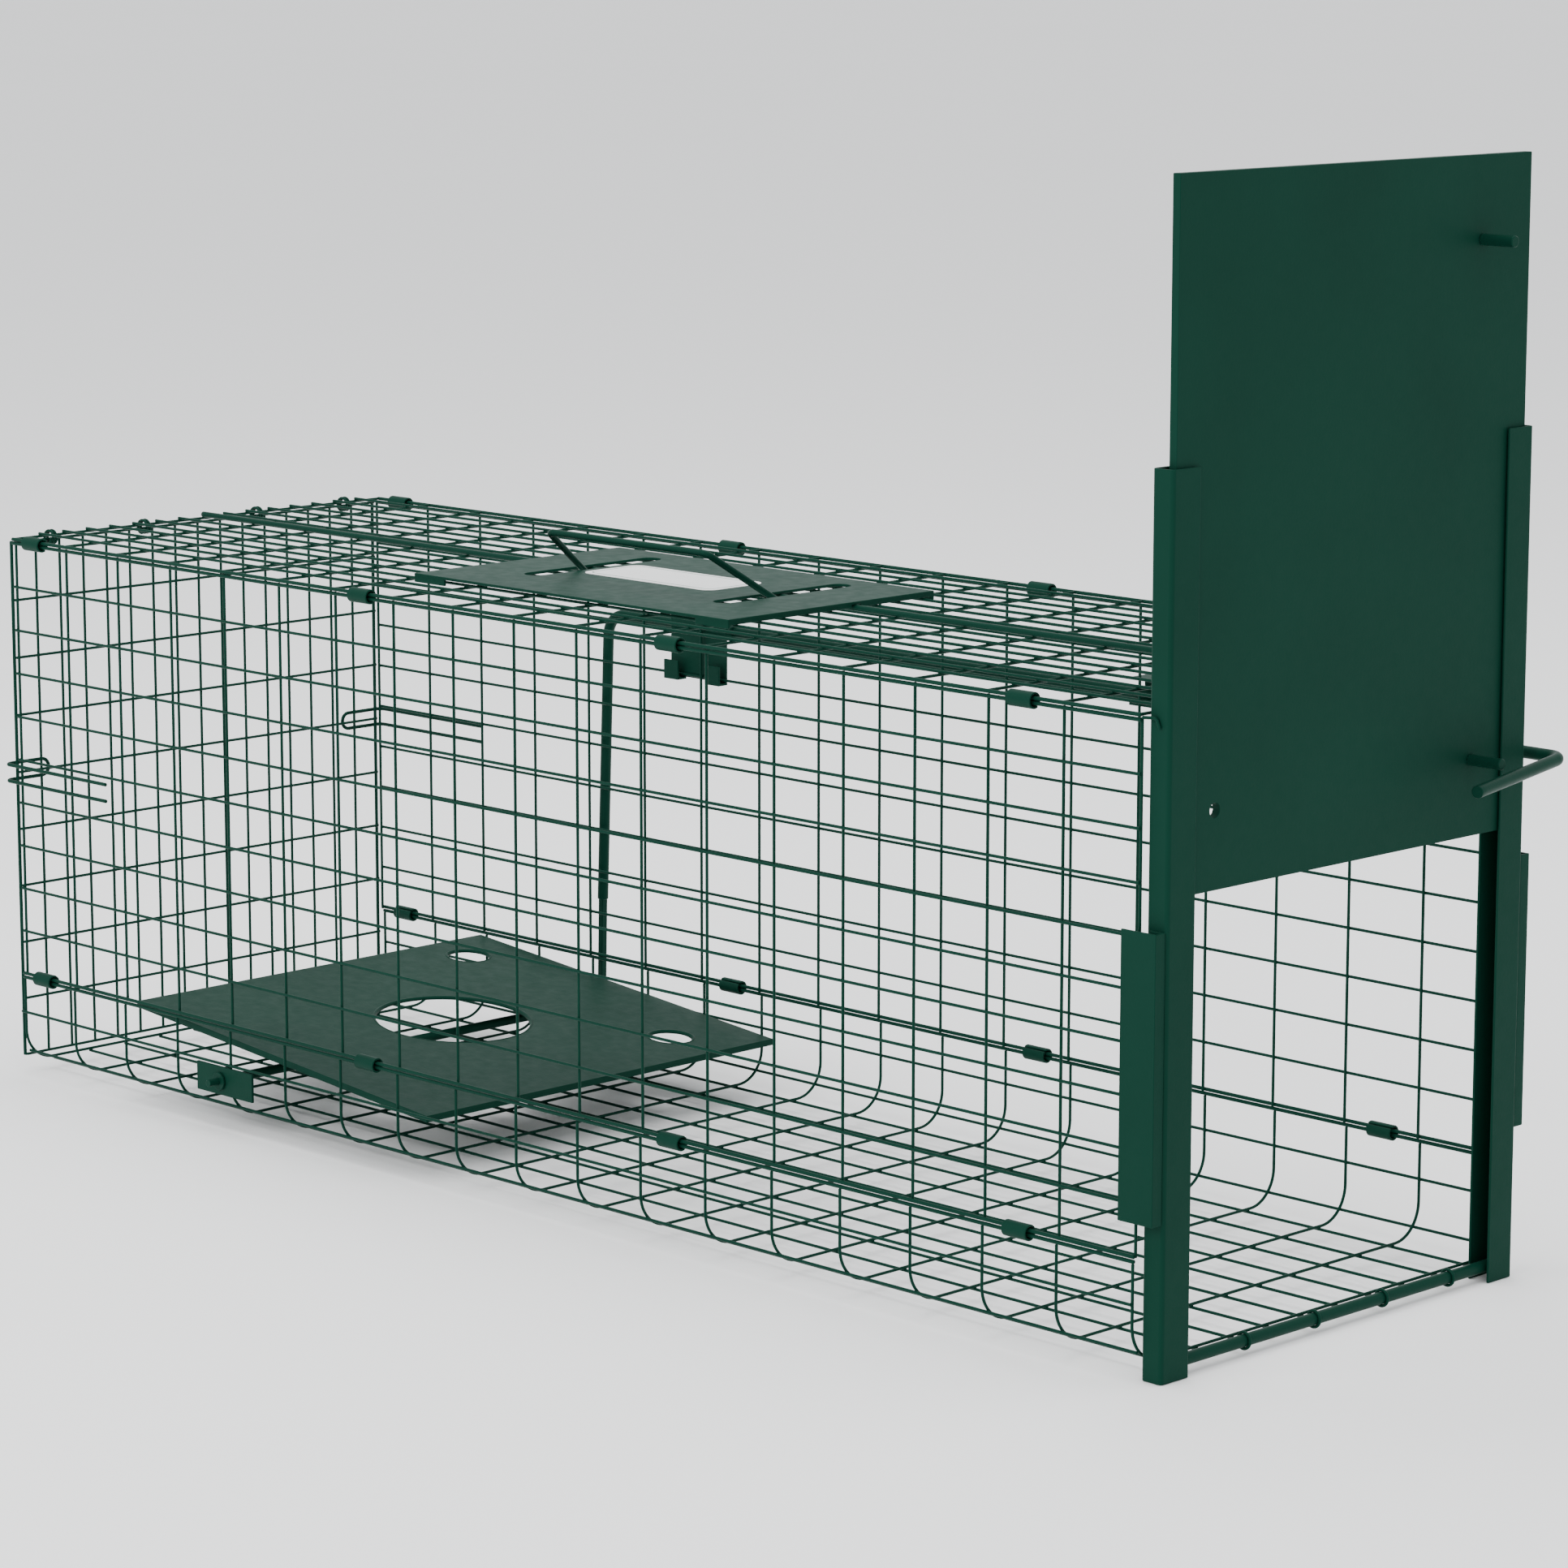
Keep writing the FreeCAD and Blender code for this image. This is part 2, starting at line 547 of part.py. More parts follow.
def build():
    """Every node with its separate solids, in cage coordinates."""
    nodes = {
        "tray_cross_wires": tray_cross_wires(),
        "tray_long_wires": tray_long_wires(),
        "tray_top_rods": tray_top_rods(),
        "bar_hinge_loops": bar_hinge_loops(),
        "left_side_panel": side_panel(-1),
        "right_side_panel": side_panel(1),
        "roof_panel": roof_panel(),
        "roof_ridge_wire": roof_ridge_wire(),
        "rear_panel": rear_panel(),
        "rear_hinge_rings": rear_hinge_rings(),
        "rear_clip_left": rear_clip(-1),
        "rear_clip_right": rear_clip(1),
        "left_upright": upright(-1),
        "right_upright": upright(1),
        "bottom_bar": bottom_bar(),
        "header_bar": header_bar(),
        "left_keeper": keeper(-1),
        "right_keeper": keeper(1),
        "corner_hooks": corner_hooks(),
        "door_panel": door_panel(),
        "lower_door_pin": door_pin(PIN_Z[0]),
        "upper_door_pin": door_pin(PIN_Z[1]),
        "trigger_rod": trigger_rod(),
        "rear_rod_bracket": rear_rod_bracket(),
        "front_rod_bracket": front_rod_bracket(),
        "bracket_tabs": bracket_tabs(),
        "pedal_plate": pedal_plate(),
        "pedal_lugs": pedal_lugs(),
        "pedal_axle": pedal_axle(),
        "axle_washer": axle_washer(),
        "trip_arm": trip_arm(),
        "left_pivot_plate": pivot_plate(-1),
        "right_pivot_plate": pivot_plate(1),
        "handle_plate": handle_plate(),
        "handle_label": handle_label(),
        "bail_handle": bail_handle(),
    }
    for side, word in ((-1, "left"), (1, "right")):
        nodes["upper_ferrules_" + word] = ferrules(side, HINGE_HIGH)
        nodes["lower_ferrules_" + word] = ferrules(side, HINGE_LOW)
    return nodes


def base_centre():
    """Middle of the outline on the ground, in cage coordinates."""
    rear = CLIP_X - CLIP_WIRE
    front = ROD_TIP[0] + ROD_RADIUS * math.cos(math.atan2(ROD_TIP[0] - ROD_FRONT, ROD_Y - ROD_TIP[1]))
    return V((rear + front) / 2, (STUB_LEFT + AXLE_RIGHT) / 2, 0)


def main():
    os.makedirs("parts", exist_ok=True)
    shift = base_centre() * -1
    for name, solids in build().items():
        shape = solids[0] if len(solids) == 1 else Part.makeCompound(solids)
        shape.translate(shift)
        shape.exportStep("parts/" + name + ".step")
        box = shape.optimalBoundingBox()
        print(name, len(shape.Solids), shape.isValid(), round(shape.Volume, 1),
              [round(v, 2) for v in (box.XMin, box.YMin, box.ZMin, box.XMax, box.YMax, box.ZMax)])
    print("origin in cage coordinates", base_centre())


main()
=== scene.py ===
import json
import math

import bmesh
import bpy
from mathutils import Matrix, Vector

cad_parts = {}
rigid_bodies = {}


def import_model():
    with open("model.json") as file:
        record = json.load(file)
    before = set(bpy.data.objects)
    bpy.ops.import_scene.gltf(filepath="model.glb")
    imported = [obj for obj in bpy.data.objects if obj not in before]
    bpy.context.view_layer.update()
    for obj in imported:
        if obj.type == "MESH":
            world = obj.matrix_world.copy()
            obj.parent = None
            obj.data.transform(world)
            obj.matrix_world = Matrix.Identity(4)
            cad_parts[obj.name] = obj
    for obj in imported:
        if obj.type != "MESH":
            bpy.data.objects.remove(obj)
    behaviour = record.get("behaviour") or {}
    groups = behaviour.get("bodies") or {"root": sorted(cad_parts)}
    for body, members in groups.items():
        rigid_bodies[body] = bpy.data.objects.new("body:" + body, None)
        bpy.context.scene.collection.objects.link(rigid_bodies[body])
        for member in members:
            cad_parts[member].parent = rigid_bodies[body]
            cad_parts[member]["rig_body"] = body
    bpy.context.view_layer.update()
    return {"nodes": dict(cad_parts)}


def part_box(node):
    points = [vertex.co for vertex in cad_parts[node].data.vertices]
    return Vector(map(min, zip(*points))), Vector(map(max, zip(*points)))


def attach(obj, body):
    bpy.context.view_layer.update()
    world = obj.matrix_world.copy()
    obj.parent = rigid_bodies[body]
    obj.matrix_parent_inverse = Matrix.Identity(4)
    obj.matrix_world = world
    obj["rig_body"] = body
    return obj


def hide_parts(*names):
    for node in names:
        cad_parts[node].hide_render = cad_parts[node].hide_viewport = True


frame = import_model()
nodes = frame["nodes"]
body_of = {name: node["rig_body"] for name, node in nodes.items()}

# Lengths below are in millimetres, in cage coordinates: x = 0 at the rearmost tray wire,
# y = 0 on the centre plane and z = 0 under the uprights. place() takes them to the frame.
MM = 0.001
MERGE = 0.002 * MM             # points closer than this are one point
WIRE, EDGE, RIDGE = 0.75, 0.95, 1.6
ORIGIN = Vector((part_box("tray_top_rods")[0].x + EDGE * MM,
                 (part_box("roof_panel")[0].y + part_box("roof_panel")[1].y) / 2, 0))

# Cage and front frame
LENGTH, HALF_WIDTH, TRAY_BEND, HINGE_HIGH = 810.0, 127.0, 17.5, 295.05
FRAME_X, CHANNEL_BACK_Y = 818.0, 125.0
BAR_Z, BAR_RADIUS, LOOP_CLEAR = 6.4, 2.9, 0.05
FERRULE_RADIUS, FERRULE_BORE = 3.8, 2.8
CLIP_REACH, CLIP_X, CLIP_Y, CLIP_END_Y = 83.0, -6.7, 133.0, 104.5
CLIP_Z, CLIP_HALF, CLIP_BEND, CLIP_WIRE = 168.0, 4.5, 4.0, 1.0

# Trigger rod, pedal and handle
ROD_RADIUS, ROD_Y, ROD_Z, ROD_REAR, ROD_FRONT = 3.0, 137.0, 248.0, 186.0, 836.0
ROD_TIP, LEG_END, ROD_BENDS = (849.0, 56.7, 243.6), (179.5, 137.0, 86.0), (8.0, 13.0)
# The tread plate's ends are (x, z), and its holes are (x, y, radius).
PEDAL_REAR, PEDAL_FRONT = (92.0, 54.5), (330.0, 33.0)
PEDAL_HOLES = ((209.0, 0.0, 42.0), (121.0, 88.0, 12.0), (297.0, 78.0, 12.0))
# The bail's angle is in degrees, and its pivot is (y, z).
BAIL_MIDDLE, BAIL_HALF, BAIL_GRIP_HALF, BAIL_FOOT = 398.5, 69.8, 57.5, 10.0
BAIL_PIVOT, BAIL_LEG, BAIL_ANGLE, BAIL_BEND, BAIL_RADIUS = (-8.3, 297.4), 46.5, 35.0, 5.0, 1.75

# Making of the round wires
SIDES = 12                     # faces round a mesh wire
ROUND_END, FLAT_END = 0.38, 0.12        # how far a bar's end edges are eased, in radii
SHORT_RAMP = 1.6               # where a wire's straight part starts, in radii from its end
BEAD_WIDTH, BEAD_HEIGHT = 1.25, 0.75    # half sizes of a weld bead, in radii of its wire
TOUCHING = 0.35 * MM           # the widest gap that still counts as a contact between wires

# Making of the sheet parts, in degrees
LEVEL = 0.5                    # faces that meet at less than this become one
SHARP = 28                     # edges that turn more than this are rounded


def place(x, y, z):
    """A point in cage millimetres, as a point of the frame in metres."""
    return ORIGIN + Vector((x, y, z)) * MM


# Materials

def node_tree(name):
    """A new material, its nodes and its shader."""
    material = bpy.data.materials.new(name)
    material.use_nodes = True
    tree = material.node_tree
    return material, tree, tree.nodes["Principled BSDF"]


def noise(tree, scale, detail, rough=0.5):
    """A noise texture on object coordinates, in metres."""
    coords = tree.nodes.get("Texture Coordinate") or tree.nodes.new("ShaderNodeTexCoord")
    texture = tree.nodes.new("ShaderNodeTexNoise")
    texture.inputs["Scale"].default_value = scale
    texture.inputs["Detail"].default_value = detail
    texture.inputs["Roughness"].default_value = rough
    tree.links.new(coords.outputs["Object"], texture.inputs["Vector"])
    return texture.outputs["Fac"]


def spread(tree, source, low, high, to_low, to_high):
    """A value remapped from one range to another."""
    ramp = tree.nodes.new("ShaderNodeMapRange")
    for name, value in zip(("From Min", "From Max", "To Min", "To Max"), (low, high, to_low, to_high)):
        ramp.inputs[name].default_value = value
    tree.links.new(source, ramp.inputs["Value"])
    return ramp.outputs["Result"]


def blended(tree, factor, first, second):
    """A colour between two others. Either may be a socket."""
    mix = tree.nodes.new("ShaderNodeMix")
    mix.data_type = "RGBA"
    tree.links.new(factor, mix.inputs["Factor"])
    for name, colour in (("A", first), ("B", second)):
        socket = [s for s in mix.inputs if s.name == name and s.type == "RGBA"][0]
        if isinstance(colour, tuple):
            socket.default_value = (*colour, 1)
        else:
            tree.links.new(colour, socket)
    return [s for s in mix.outputs if s.type == "RGBA"][0]


def bump(tree, shader, height, strength, distance):
    """Relief on a shader. The distance is in metres."""
    node = tree.nodes.new("ShaderNodeBump")
    node.inputs["Strength"].default_value = strength
    node.inputs["Distance"].default_value = distance
    tree.links.new(height, node.inputs["Height"])
    tree.links.new(node.outputs["Normal"], shader.inputs["Normal"])


def powder_coat(name, colour, peel, peel_size, gloss):
    """Powder coat: orange peel of a size in millimetres, faint cloudiness and a film of dust."""
    material, tree, shader = node_tree(name)
    deep = tuple(c * 0.94 for c in colour)
    pale = tuple(c * 1.06 for c in colour)
    dust = tuple(c + 0.002 for c in colour)
    cloud = spread(tree, noise(tree, 14, 3), 0.3, 0.7, 0, 1)
    tone = blended(tree, cloud, deep, pale)
    film = spread(tree, noise(tree, 45, 6, 0.65), 0.56, 0.78, 0, 0.35)
    tone = blended(tree, film, tone, dust)
    tree.links.new(tone, shader.inputs["Base Color"])
    rough = spread(tree, noise(tree, 160, 4), 0.3, 0.7, gloss - 0.03, gloss + 0.05)
    tree.links.new(rough, shader.inputs["Roughness"])
    shader.inputs["Specular IOR Level"].default_value = 0.06
    shader.inputs["Specular Tint"].default_value = (0.45, 0.90, 0.75, 1)
    bump(tree, shader, noise(tree, 1000 / peel_size, 2), peel, 0.0004)
    return material


def label_vinyl():
    """White printed vinyl with a soft sheen."""
    material, tree, shader = node_tree("label_vinyl")
    patch = spread(tree, noise(tree, 60, 4), 0.35, 0.7, 0, 1)
    tone = blended(tree, patch, (0.80, 0.81, 0.80), (0.74, 0.755, 0.75))
    tree.links.new(tone, shader.inputs["Base Color"])
    rough = spread(tree, noise(tree, 220, 3), 0.3, 0.7, 0.28, 0.4)
    tree.links.new(rough, shader.inputs["Roughness"])
    bump(tree, shader, noise(tree, 900, 2), 0.12, 0.0002)
    return material


def floor_paint():
    """Matt white, very slightly patchy."""
    material, tree, shader = node_tree("floor_paint")
    patch = spread(tree, noise(tree, 0.6, 3), 0.3, 0.7, 0, 1)
    tone = blended(tree, patch, (0.95, 0.95, 0.95), (0.96, 0.96, 0.96))
    tree.links.new(tone, shader.inputs["Base Color"])
    shader.inputs["Roughness"].default_value = 0.9
    return material


GREEN = (0.0027, 0.0285, 0.0180)
WIRE_PAINT = powder_coat("wire_powder_coat", GREEN, 0.15, 0.9, 0.40)
SHEET_PAINT = powder_coat("sheet_powder_coat", GREEN, 0.12, 1.6, 0.46)
BAR_PAINT = powder_coat("bar_powder_coat", GREEN, 0.10, 1.2, 0.36)
VINYL = label_vinyl()
INK = powder_coat("label_border_ink", (0.10, 0.20, 0.16), 0.05, 1.0, 0.35)


# Mesh tools

def finish_piece(name, bm, material, body, slot, *replaced):
    """A smooth-shaded object from a bmesh. It rides on a body and stands for some CAD nodes."""
    bmesh.ops.recalc_face_normals(bm, faces=bm.faces)
    for face in bm.faces:
        face.smooth = True
    mesh = bpy.data.meshes.new(name)
    bm.to_mesh(mesh)
    bm.free()
    mesh.materials.append(material)
    piece = bpy.data.objects.new(name, mesh)
    bpy.context.scene.collection.objects.link(piece)
    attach(piece, body)
    if replaced:
        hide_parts(*replaced)
    return piece


def weigh_normals(piece):
    """Shades the large faces flat and leaves only the rounded edges smooth."""
    modifier = piece.modifiers.new("flat faces stay flat", "WEIGHTED_NORMAL")
    modifier.mode = "FACE_AREA"
    modifier.keep_sharp = True
    return piece


def islands(name):
    """Lowest and highest corner of every separate solid of a CAD node."""
    bm = bmesh.new()
    bm.from_mesh(nodes[name].data)
    bmesh.ops.remove_doubles(bm, verts=bm.verts, dist=MERGE)
    boxes, seen = [], set()
    for first in bm.verts:
        if first in seen:
            continue
        seen.add(first)
        group, stack = [], [first]
        while stack:
            vert = stack.pop()
            group.append(vert.co)
            for edge in vert.link_edges:
                other = edge.other_vert(vert)
                if other not in seen:
                    seen.add(other)
                    stack.append(other)
        boxes.append((Vector(map(min, zip(*group))), Vector(map(max, zip(*group)))))
    bm.free()
    return boxes


def rounded(points, bends, steps=8):
    """The points of a polyline whose inner corners are replaced by arcs. Both are in metres."""
    path = [points[0]]
    for before, corner, after, bend in zip(points, points[1:], points[2:], bends):
        back, ahead = (before - corner).normalized(), (after - corner).normalized()
        half = back.angle(ahead) / 2
        inward = (back + ahead).normalized()
        centre = corner + inward * (bend / math.sin(half))
        start = corner + back * (bend / math.tan(half)) - centre
        axis = back.cross(ahead).normalized()
        turn = math.pi - 2 * half
        for k in range(steps + 1):
            path.append(centre + Matrix.Rotation(-turn * k / steps, 3, axis) @ start)
    path.append(points[-1])
    return path


def sweep(bm, path, radius, sides=SIDES, end_edge=ROUND_END):
    """A round bar along a path, with its end edges eased by a share of the radius."""
    soft = (0.0, 0.9 * end_edge, SHORT_RAMP)
    shrink = (1 - end_edge, 1.0, 1.0)
    ahead = (path[1] - path[0]).normalized()
    behind = (path[-2] - path[-1]).normalized()
    rings = [(path[0] + ahead * radius * s, radius * k) for s, k in zip(soft, shrink)]
    rings += [(p, radius) for p in path[1:-1]]
    rings += [(path[-1] + behind * radius * s, radius * k) for s, k in reversed(list(zip(soft, shrink)))]
    centres = [c for c, _ in rings]
    side = ahead.orthogonal().normalized()
    last, loops = ahead, []
    for i, (centre, size) in enumerate(rings):
        tangent = (centres[min(i + 1, len(rings) - 1)] - centres[max(i - 1, 0)]).normalized()
        side = last.rotation_difference(tangent) @ side
        last = tangent
        across = tangent.cross(side)
        loops.append([
            bm.verts.new(centre + (side * math.cos(a) + across * math.sin(a)) * size)
            for a in (2 * math.pi * k / sides for k in range(sides))
        ])
    for near, far in zip(loops, loops[1:]):
        for k in range(sides):
            n = (k + 1) % sides
            bm.faces.new((near[k], near[n], far[n], far[k]))
    bm.faces.new(loops[0][::-1])
    bm.faces.new(loops[-1])


def nugget(bm, centre, radius, normal_axis):
    """A small flattened bead where two wires are welded."""
    scale = [BEAD_WIDTH * radius] * 3
    scale[normal_axis] = BEAD_HEIGHT * radius
    bmesh.ops.create_icosphere(bm, subdivisions=1, radius=1,
                               matrix=Matrix.Translation(centre) @ Matrix.Diagonal((*scale, 1)))


def straight_wires(name):
    """(start, end, radius, axis) of every straight wire of a CAD node."""
    found = []
    for low, high in islands(name):
        size = high - low
        axis = max(range(3), key=lambda i: size[i])
        thick = max(size[i] for i in range(3) if i != axis) / 2
        radius = min((WIRE, EDGE, RIDGE), key=lambda r: abs(r * MM - thick)) * MM
        start = (low + high) / 2
        end = start.copy()
        start[axis], end[axis] = low[axis], high[axis]
        found.append((start, end, radius, axis))
    return found


def welds(wires):
    """(contact point, wire radius, normal axis) where two straight wires cross and touch."""
    for i, (start, end, radius, axis) in enumerate(wires):
        for other_start, other_end, other_radius, other_axis in wires[i + 1:]:
            if axis == other_axis:
                continue
            normal = 3 - axis - other_axis
            gap = other_start[normal] - start[normal]
            if abs(abs(gap) - radius - other_radius) > TOUCHING:
                continue
            if not start[axis] - radius <= other_start[axis] <= end[axis] + radius:
                continue
            low, high = other_start[other_axis], other_end[other_axis]
            if not low - radius <= start[other_axis] <= high + radius:
                continue
            point = start.copy()
            point[axis] = other_start[axis]
            point[normal] += math.copysign(radius, gap)
            yield point, min(radius, other_radius), normal


def mesh_panel(name):
    """A wire panel: round wires and a weld bead at every crossing."""
    bm = bmesh.new()
    wires = straight_wires(name)
    for start, end, radius, _ in wires:
        sweep(bm, [start, end], radius)
    for point, radius, normal in welds(wires):
        nugget(bm, point, radius, normal)
    return finish_piece(name + "_wires", bm, WIRE_PAINT, body_of[name], "green_wire", name)


def bent_piece(name, points, bends, radius, slot="green_bar", steps=10, sides=16, paint=None,
               end_edge=FLAT_END):
    """A bent round bar that stands for one CAD node. Its points are in cage millimetres."""
    bm = bmesh.new()
    path = rounded([place(*p) for p in points], [b * MM for b in bends], steps)
    sweep(bm, path, radius * MM, sides, end_edge)
    return weigh_normals(finish_piece(name + "_bar", bm, paint or BAR_PAINT, body_of[name], slot, name))


def softened(name, width, material, slot, segments=2):
    """A copy of a CAD part with its sharp edges rounded over a width in millimetres."""
    bm = bmesh.new()
    bm.from_mesh(nodes[name].data)
    bmesh.ops.remove_doubles(bm, verts=bm.verts, dist=MERGE)
    bmesh.ops.dissolve_limit(bm, angle_limit=math.radians(LEVEL), verts=bm.verts, edges=bm.edges)
    sharp = [e for e in bm.edges if e.is_manifold and e.calc_face_angle(0) > math.radians(SHARP)]
    bmesh.ops.bevel(bm, geom=sharp, offset=width * MM, segments=segments, profile=0.6,
                    affect="EDGES", clamp_overlap=True)
    return weigh_normals(finish_piece(name + "_sheet", bm, material, body_of[name], slot, name))


def ring(bm, centre, axis, radius, section, turns=1.0, rise=0.0, start=0.0, steps=28, sides=10):
    """A round wire wound about an axis by some turns, and moved along the axis by rise."""
    first = axis.orthogonal().normalized()
    second = axis.cross(first)
    path = []
    for k in range(int(steps * turns) + 1):
        a = start + 2 * math.pi * k / steps
        lift = rise * (k / (steps * turns) - 0.5)
        path.append(centre + (first * math.cos(a) + second * math.sin(a)) * radius + axis * lift)
    sweep(bm, path, section, sides)


# Cage

for panel in ("left_side_panel", "right_side_panel", "roof_panel", "roof_ridge_wire", "rear_panel",
              "tray_long_wires", "tray_top_rods"):
    mesh_panel(panel)


def tray_cross_wires():
    """U-shaped wires with a bead at every long wire that they touch."""
    bm = bmesh.new()
    radius, bend = WIRE * MM, TRAY_BEND * MM
    long_wires = straight_wires("tray_long_wires")
    for low, high in islands("tray_cross_wires"):
        x, floor = (low.x + high.x) / 2, low.z + radius
        left, right = low.y + radius, high.y - radius
        corners = [Vector((x, left, high.z)), Vector((x, left, floor)),
                   Vector((x, right, floor)), Vector((x, right, high.z))]
        sweep(bm, rounded(corners, (bend, bend), 12), radius)
        for start, _, _, _ in long_wires:
            y, z = start.y, start.z
            if z < floor and left + bend < y < right - bend:
                nugget(bm, Vector((x, y, floor - radius)), radius, 2)
            elif z > floor + bend:
                nugget(bm, Vector((x, y - math.copysign(radius, y - ORIGIN.y), z)), radius, 1)
    return finish_piece("tray_cross_wires_bent", bm, WIRE_PAINT, "cage", "green_wire",
                        "tray_cross_wires")


tray_cross_wires()


def bar_hinge_loops():
    """The ends of the floor's wires, wound once round the bottom bar."""
    bm = bmesh.new()
    winding = BAR_RADIUS + LOOP_CLEAR + WIRE
    for low, high in islands("bar_hinge_loops"):
        centre = Vector(((low.x + high.x) / 2, (low.y + high.y) / 2 + WIRE * MM, place(0, 0, BAR_Z).z))
        ring(bm, centre, Vector((0, 1, 0)), winding * MM, WIRE * MM,
             turns=1.15, rise=-1.9 * WIRE * MM, start=math.pi)
    return finish_piece("bar_hinge_loops_wound", bm, WIRE_PAINT, "cage", "green_wire", "bar_hinge_loops")


def rear_hinge_rings():
    """Each pair of rings is one wire, wound twice."""
    bm = bmesh.new()
    rings = sorted(islands("rear_hinge_rings"), key=lambda box: box[0].y)
    for (low, _), (_, high) in zip(rings[0::2], rings[1::2]):
        centre = (low + high) / 2
        radius = (high.z - low.z) / 2 - WIRE * MM
        width = high.y - low.y - 2 * WIRE * MM
        ring(bm, centre, Vector((0, 1, 0)), radius, WIRE * MM, turns=2.3, rise=width, start=0.7)
    return finish_piece("rear_hinge_coils", bm, WIRE_PAINT, "rear_door", "green_wire",
                        "rear_hinge_rings")


bar_hinge_loops()
rear_hinge_rings()


def ferrule(bm, low, high, seam):
    """A sleeve rolled from strip, with an open seam and bevelled lips. The seam is an angle."""
    steps, half_gap, soft = 26, 0.11, 0.25 * MM
    centre, length = (low + high) / 2, high.x - low.x
    outer, inner = FERRULE_RADIUS * MM, FERRULE_BORE * MM
    section = [(0, inner + soft), (0, outer - soft), (soft, outer), (length - soft, outer),
               (length, outer - soft), (length, inner + soft), (length - soft, inner), (soft, inner)]
    loops = []
    for k in range(steps + 1):
        a = seam + half_gap + (2 * math.pi - 2 * half_gap) * k / steps
        loops.append([
            bm.verts.new((low.x + x, centre.y + r * math.cos(a), centre.z + r * math.sin(a)))
            for x, r in section
        ])
    count = len(section)
    for near, far in zip(loops, loops[1:]):
        for k in range(count):
            n = (k + 1) % count
            bm.faces.new((near[k], near[n], far[n], far[k]))
    bm.faces.new(loops[0])
    bm.faces.new(loops[-1][::-1])


# The seams are on the cage's inner side, turned down on the upper lines and up on the lower ones.
SEAM_TURN = 0.9
for side, inward in (("left", 0.0), ("right", math.pi)):
    for level, lift in (("upper", -SEAM_TURN), ("lower", SEAM_TURN)):
        name = level + "_ferrules_" + side
        bm = bmesh.new()
        seam = inward + (lift if side == "left" else -lift)
        for low, high in islands(name):
            ferrule(bm, low, high, seam)
        weigh_normals(finish_piece(name + "_rolled", bm, SHEET_PAINT, "cage", "green_wire", name))

for side, word in ((-1, "left"), (1, "right")):
    high, low, end = CLIP_Z + CLIP_HALF, CLIP_Z - CLIP_HALF, side * CLIP_END_Y
    turn = CLIP_HALF - 0.1
    hairpin = [(CLIP_REACH, side * CLIP_Y, high), (CLIP_X, side * CLIP_Y, high), (CLIP_X, end, high),
               (CLIP_X, end, low), (CLIP_X, side * CLIP_Y, low), (CLIP_REACH, side * CLIP_Y, low)]
    bent_piece("rear_clip_" + word, hairpin, (CLIP_BEND, turn, turn, CLIP_BEND), CLIP_WIRE,
               "green_wire", sides=12, paint=WIRE_PAINT)


def corner_hooks():
    """Short wires from the roof's front corners, bent down over the channels' backs."""
    bm = bmesh.new()
    for side in (-1, 1):
        edge_y = side * (HALF_WIDTH + WIRE + EDGE)
        y = side * (CHANNEL_BACK_Y + WIRE + 2 * LOOP_CLEAR)
        points = [place(LENGTH + EDGE + WIRE / 2, edge_y, HINGE_HIGH), place(FRAME_X - 1, y, HINGE_HIGH),
                  place(FRAME_X + 1, y, HINGE_HIGH - 6 * WIRE)]
        sweep(bm, rounded(points, [2 * MM]), WIRE * MM)
    return finish_piece("corner_hooks_wire", bm, WIRE_PAINT, "cage", "green_wire", "corner_hooks")


corner_hooks()

# Bars and rods

bent_piece("trigger_rod", [ROD_TIP, (ROD_FRONT, ROD_Y, ROD_Z), (ROD_REAR, ROD_Y, ROD_Z), LEG_END],
           ROD_BENDS, ROD_RADIUS, sides=24)

lean = math.radians(BAIL_ANGLE)
foot_y, foot_z = BAIL_PIVOT
grip_y, grip_z = foot_y - BAIL_LEG * math.cos(lean), foot_z + BAIL_LEG * math.sin(lean)
half_bail = [(BAIL_MIDDLE - BAIL_HALF + BAIL_FOOT, foot_y, foot_z),
             (BAIL_MIDDLE - BAIL_HALF, foot_y, foot_z),
             (BAIL_MIDDLE - BAIL_GRIP_HALF, grip_y, grip_z)]
other_half = [(2 * BAIL_MIDDLE - x, y, z) for x, y, z in reversed(half_bail)]
bent_piece("bail_handle", half_bail + other_half, (BAIL_BEND / 2, BAIL_BEND, BAIL_BEND, BAIL_BEND / 2),
           BAIL_RADIUS)

# Sheet parts

for name, width in (
    ("left_upright", 0.45), ("right_upright", 0.45), ("header_bar", 0.4), ("left_keeper", 0.35),
    ("right_keeper", 0.35), ("door_panel", 0.5), ("rear_rod_bracket", 0.3), ("front_rod_bracket", 0.3),
    ("bracket_tabs", 0.3), ("pedal_plate", 0.4), ("pedal_lugs", 0.3), ("left_pivot_plate", 0.35),
    ("right_pivot_plate", 0.35), ("handle_plate", 0.4),
):
    softened(name, width, SHEET_PAINT, "green_sheet")
for name, width in (
    ("bottom_bar", 0.4), ("lower_door_pin", 0.6), ("upper_door_pin", 0.6), ("pedal_axle", 0.3),
    ("axle_washer", 0.25), ("trip_arm", 0.4),
):
    softened(name, width, BAR_PAINT, "green_bar", segments=3)
softened("handle_label", 0.08, VINYL, "label_white")


def pedal_height(x):
    """Height of the tread plate's upper face, in cage millimetres."""
    run = (x - PEDAL_REAR[0]) / (PEDAL_FRONT[0] - PEDAL_REAR[0])
    return PEDAL_REAR[1] + run * (PEDAL_FRONT[1] - PEDAL_REAR[1])


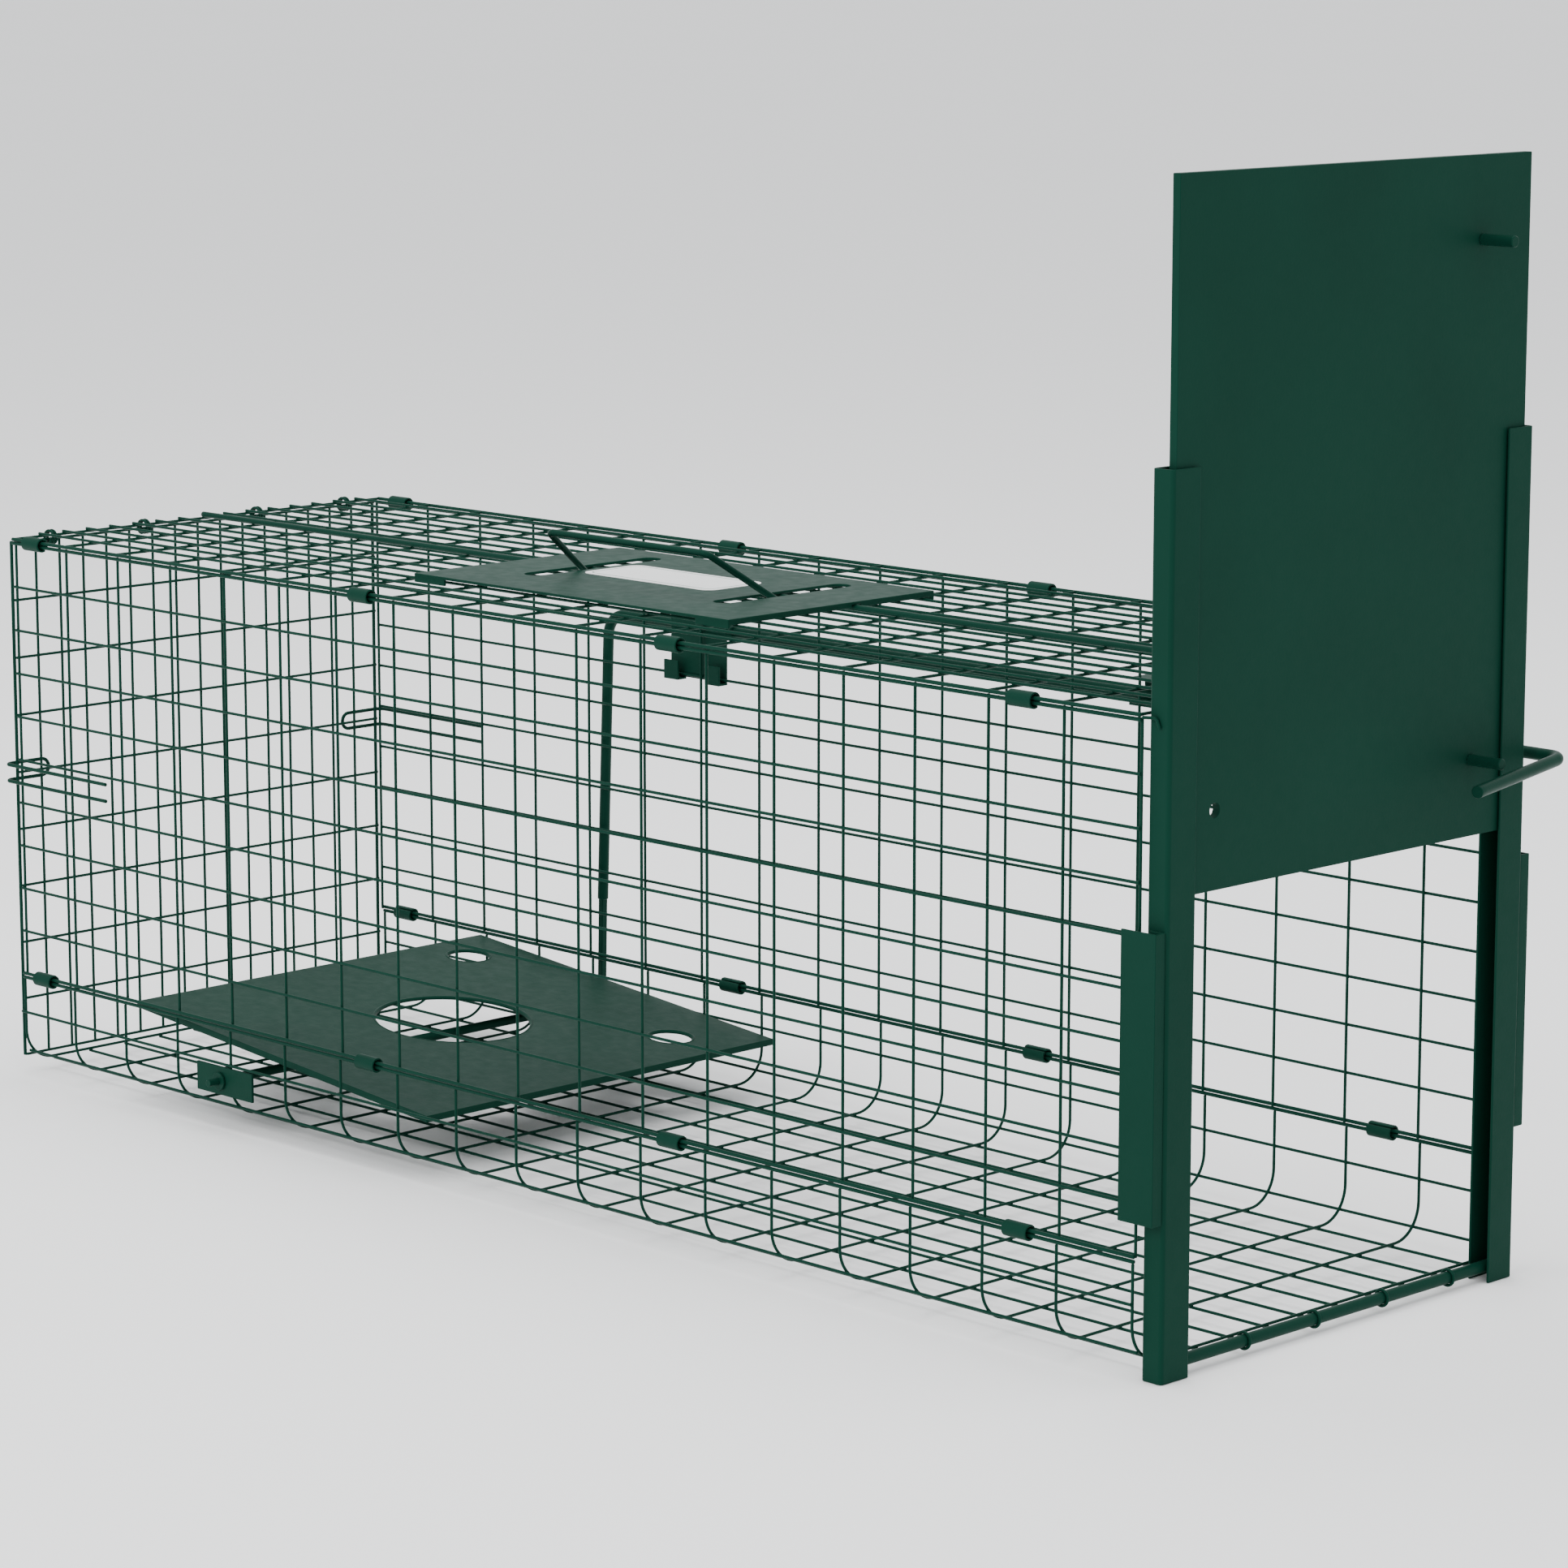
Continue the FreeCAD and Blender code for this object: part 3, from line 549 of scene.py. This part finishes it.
def pedal_rims():
    """The rolled rims of the tread plate's holes."""
    bm = bmesh.new()
    tilt = math.atan2(PEDAL_FRONT[1] - PEDAL_REAR[1], PEDAL_FRONT[0] - PEDAL_REAR[0])
    axis = Vector((-math.sin(tilt), 0, math.cos(tilt)))
    for x, y, radius in PEDAL_HOLES:
        profile = [(radius + 1.1, 0.12), (radius + 0.3, 0.1), (radius - 0.5, -0.5), (radius - 0.6, -1.6),
                   (radius + 0.2, -1.9), (radius + 0.6, -1.2)]
        centre = place(x, y, pedal_height(x))
        first, second = Vector((math.cos(tilt), 0, math.sin(tilt))), Vector((0, 1, 0))
        steps = 64 if radius > 20 else 36
        loops = []
        for k in range(steps):
            a = 2 * math.pi * k / steps
            out = first * math.cos(a) + second * math.sin(a)
            loops.append([bm.verts.new(centre + (out * r + axis * h) * MM) for r, h in profile])
        for k, near in enumerate(loops):
            far = loops[(k + 1) % steps]
            for j in range(len(profile)):
                n = (j + 1) % len(profile)
                bm.faces.new((near[j], near[n], far[n], far[j]))
    return finish_piece("pedal_hole_rims", bm, SHEET_PAINT, "pedal", "green_sheet")


pedal_rims()


def label_border():
    """A thin plain line printed round the blank label."""
    low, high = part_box("handle_label")
    inset, line, corner, steps = 3 * MM, 0.8 * MM, 5 * MM, 8
    top = high.z + 0.02 * MM   # just above the label's face
    bm = bmesh.new()
    loops = []
    for grow in (0, line):
        x0, x1 = low.x + inset + grow, high.x - inset - grow
        y0, y1 = low.y + inset + grow, high.y - inset - grow
        r, loop = corner - grow, []
        arcs = ((x1 - r, y1 - r, 0), (x0 + r, y1 - r, 90), (x0 + r, y0 + r, 180), (x1 - r, y0 + r, 270))
        for cx, cy, a0 in arcs:
            for k in range(steps + 1):
                a = math.radians(a0 + 90 * k / steps)
                loop.append(bm.verts.new((cx + r * math.cos(a), cy + r * math.sin(a), top)))
        loops.append(loop)
    count = len(loops[0])
    for k in range(count):
        n = (k + 1) % count
        bm.faces.new((loops[0][k], loops[0][n], loops[1][n], loops[1][k]))
    return finish_piece("label_border_line", bm, INK, "cage", "label_white")


label_border()

# Stage, in metres

FLOOR_RADIUS = 90
FLOOR_DROP = 0.0002            # keeps the floor off the uprights' lower ends

floor_mesh = bpy.data.meshes.new("floor")
floor_bm = bmesh.new()
bmesh.ops.create_circle(floor_bm, cap_ends=True, segments=96, radius=FLOOR_RADIUS)
floor_bm.to_mesh(floor_mesh)
floor_bm.free()
floor = bpy.data.objects.new("floor", floor_mesh)
floor.location.z = -FLOOR_DROP
floor_mesh.materials.append(floor_paint())
bpy.context.scene.collection.objects.link(floor)

world = bpy.data.worlds.new("studio")
world.use_nodes = True
world.node_tree.nodes["Background"].inputs["Color"].default_value = (0.97, 0.985, 1, 1)
world.node_tree.nodes["Background"].inputs["Strength"].default_value = 1.3
bpy.context.scene.world = world


def softbox(name, where, aim, size, power):
    """A rectangular area light. Its power is in watts."""
    light = bpy.data.lights.new(name, "AREA")
    light.shape = "RECTANGLE"
    light.size, light.size_y = size
    light.energy = power
    lamp = bpy.data.objects.new(name, light)
    lamp.location = where
    lamp.rotation_euler = (Vector(aim) - Vector(where)).to_track_quat("-Z", "Y").to_euler()
    bpy.context.scene.collection.objects.link(lamp)


softbox("key", (-0.2, -2.8, 1.9), (0, 0, 0.2), (2.4, 1.8), 60)
softbox("top", (0.0, 0.2, 2.9), (0, 0, 0), (2.6, 2.0), 60)
softbox("front", (2.9, 0.4, 1.2), (0.2, 0, 0.25), (1.6, 1.6), 2)

# Camera

CAMERA_AT = (2216.0, -1728.5, 649.7)              # cage millimetres
CAMERA_HEADING, CAMERA_PITCH = 135.408, -10.24    # degrees
CAMERA_LENS, SENSOR_WIDTH = 115.6, 36             # millimetres

heading, pitch = math.radians(CAMERA_HEADING), math.radians(CAMERA_PITCH)
look = Vector((math.cos(heading) * math.cos(pitch), math.sin(heading) * math.cos(pitch),
               math.sin(pitch)))
camera_data = bpy.data.cameras.new("camera")
camera_data.lens = CAMERA_LENS
camera_data.sensor_width = SENSOR_WIDTH
camera_data.clip_start, camera_data.clip_end = 0.1, 300
camera = bpy.data.objects.new("camera", camera_data)
camera.location = place(*CAMERA_AT)
camera.rotation_euler = look.to_track_quat("-Z", "Y").to_euler()
bpy.context.scene.collection.objects.link(camera)
bpy.context.scene.camera = camera
